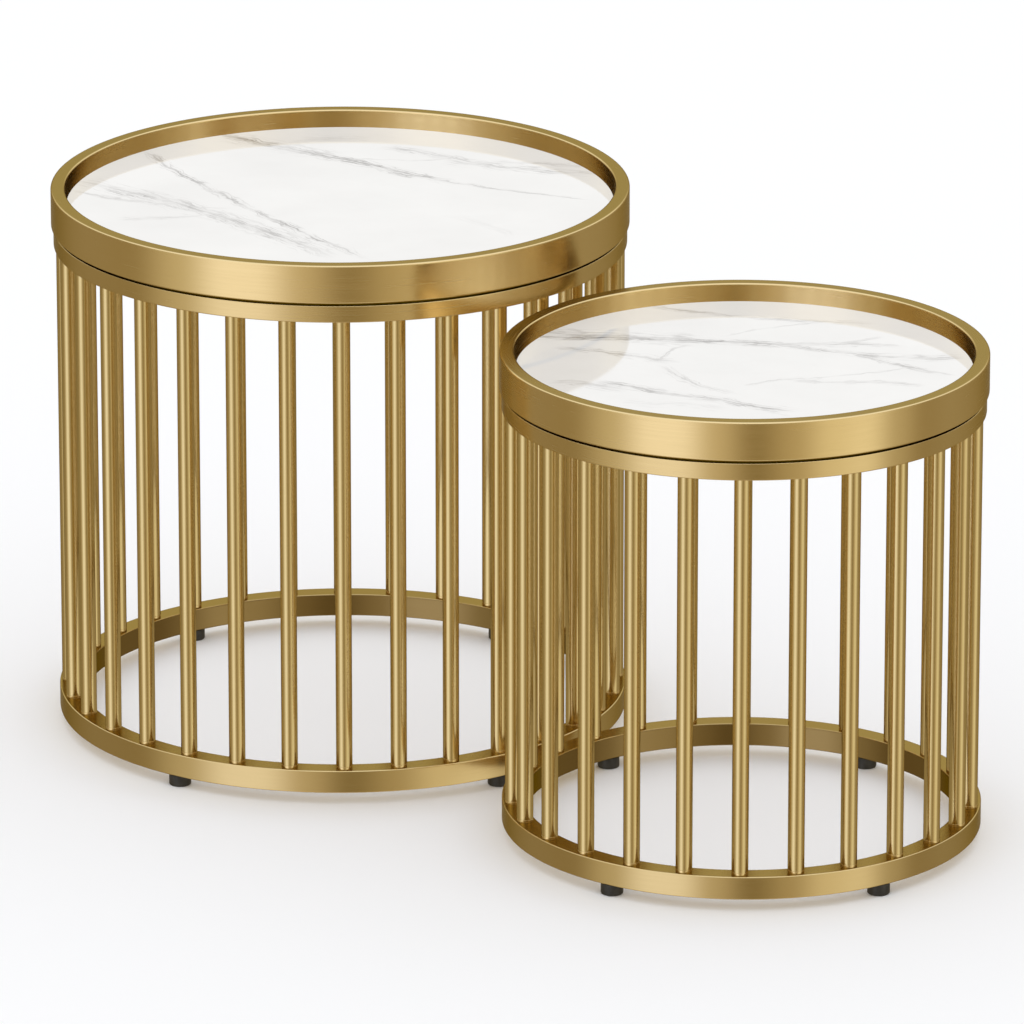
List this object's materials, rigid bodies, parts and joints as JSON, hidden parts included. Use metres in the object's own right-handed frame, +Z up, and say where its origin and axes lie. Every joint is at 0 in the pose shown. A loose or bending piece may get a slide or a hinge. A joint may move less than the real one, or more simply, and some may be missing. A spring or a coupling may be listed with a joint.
{
  "type": "round nesting tables",
  "caption": "Two round nesting side tables: cages of upright brushed-brass tubes between rings, with raised-lip trays that hold white veined stone tops.",
  "frame": {"origin": "bottom centre of the bounding box of the pair as they stand side by side, on the floor", "axes": "+Z up, -Y towards the front of the pair, +X to the right as seen from the front; the large table stands at -X, +Y and the small one at +X, -Y"},
  "size_m": [0.7976, 0.7634, 0.48],
  "materials": {
    "brass": "satin brushed, grain round the rings and along the tubes",
    "stone": "polished white with soft grey veins",
    "board": "raw fibreboard",
    "rubber": "matt",
    "black_plastic": "matt black moulded",
    "steel": "zinc plated"
  },
  "bodies": {
    "small_table": {"small_tray_rim": "brass", "small_tray_tabs": "brass", "small_backing_board": "board", "small_cushion_pads": "rubber", "small_stone_top": "stone", "small_tray_spacers": "black_plastic", "small_tray_screws": "steel", "small_upper_ring": "brass", "small_base_ring": "brass", "small_rod_plugs": "brass", "small_glide_inserts": "steel", "small_rods_front_right": "brass", "small_rods_back_right": "brass", "small_rods_back_left": "brass", "small_rods_front_left": "brass"},
    "large_table": {"large_tray_rim": "brass", "large_tray_tabs": "brass", "large_backing_board": "board", "large_cushion_pads": "rubber", "large_stone_top": "stone", "large_tray_spacers": "black_plastic", "large_tray_screws": "steel", "large_upper_ring": "brass", "large_base_ring": "brass", "large_rod_plugs": "brass", "large_glide_inserts": "steel", "large_rods_front_right": "brass", "large_rods_back_right": "brass", "large_rods_back_left": "brass", "large_rods_front_left": "brass"},
    "large_glide_front_right": {"large_glide_front_right": "black_plastic", "large_glide_stud_front_right": "steel"},
    "large_glide_back_right": {"large_glide_back_right": "black_plastic", "large_glide_stud_back_right": "steel"},
    "large_glide_back_left": {"large_glide_back_left": "black_plastic", "large_glide_stud_back_left": "steel"},
    "large_glide_front_left": {"large_glide_front_left": "black_plastic", "large_glide_stud_front_left": "steel"},
    "small_glide_front_right": {"small_glide_front_right": "black_plastic", "small_glide_stud_front_right": "steel"},
    "small_glide_back_right": {"small_glide_back_right": "black_plastic", "small_glide_stud_back_right": "steel"},
    "small_glide_back_left": {"small_glide_back_left": "black_plastic", "small_glide_stud_back_left": "steel"},
    "small_glide_front_left": {"small_glide_front_left": "black_plastic", "small_glide_stud_front_left": "steel"}
  },
  "joints": [
    {"name": "large_table_lift", "type": "slide", "parent": "small_table", "child": "large_table", "axis": [0, 0, 1], "range_m": [0, 0.46]},
    {"name": "large_glide_front_right_screw", "type": "slide", "parent": "large_table", "child": "large_glide_front_right", "axis": [0, 0, -1], "range_m": [0, 0.006]},
    {"name": "large_glide_back_right_screw", "type": "slide", "parent": "large_table", "child": "large_glide_back_right", "axis": [0, 0, -1], "range_m": [0, 0.006]},
    {"name": "large_glide_back_left_screw", "type": "slide", "parent": "large_table", "child": "large_glide_back_left", "axis": [0, 0, -1], "range_m": [0, 0.006]},
    {"name": "large_glide_front_left_screw", "type": "slide", "parent": "large_table", "child": "large_glide_front_left", "axis": [0, 0, -1], "range_m": [0, 0.006]},
    {"name": "small_glide_front_right_screw", "type": "slide", "parent": "small_table", "child": "small_glide_front_right", "axis": [0, 0, -1], "range_m": [0, 0.006]},
    {"name": "small_glide_back_right_screw", "type": "slide", "parent": "small_table", "child": "small_glide_back_right", "axis": [0, 0, -1], "range_m": [0, 0.006]},
    {"name": "small_glide_back_left_screw", "type": "slide", "parent": "small_table", "child": "small_glide_back_left", "axis": [0, 0, -1], "range_m": [0, 0.006]},
    {"name": "small_glide_front_left_screw", "type": "slide", "parent": "small_table", "child": "small_glide_front_left", "axis": [0, 0, -1], "range_m": [0, 0.006]}
  ]
}
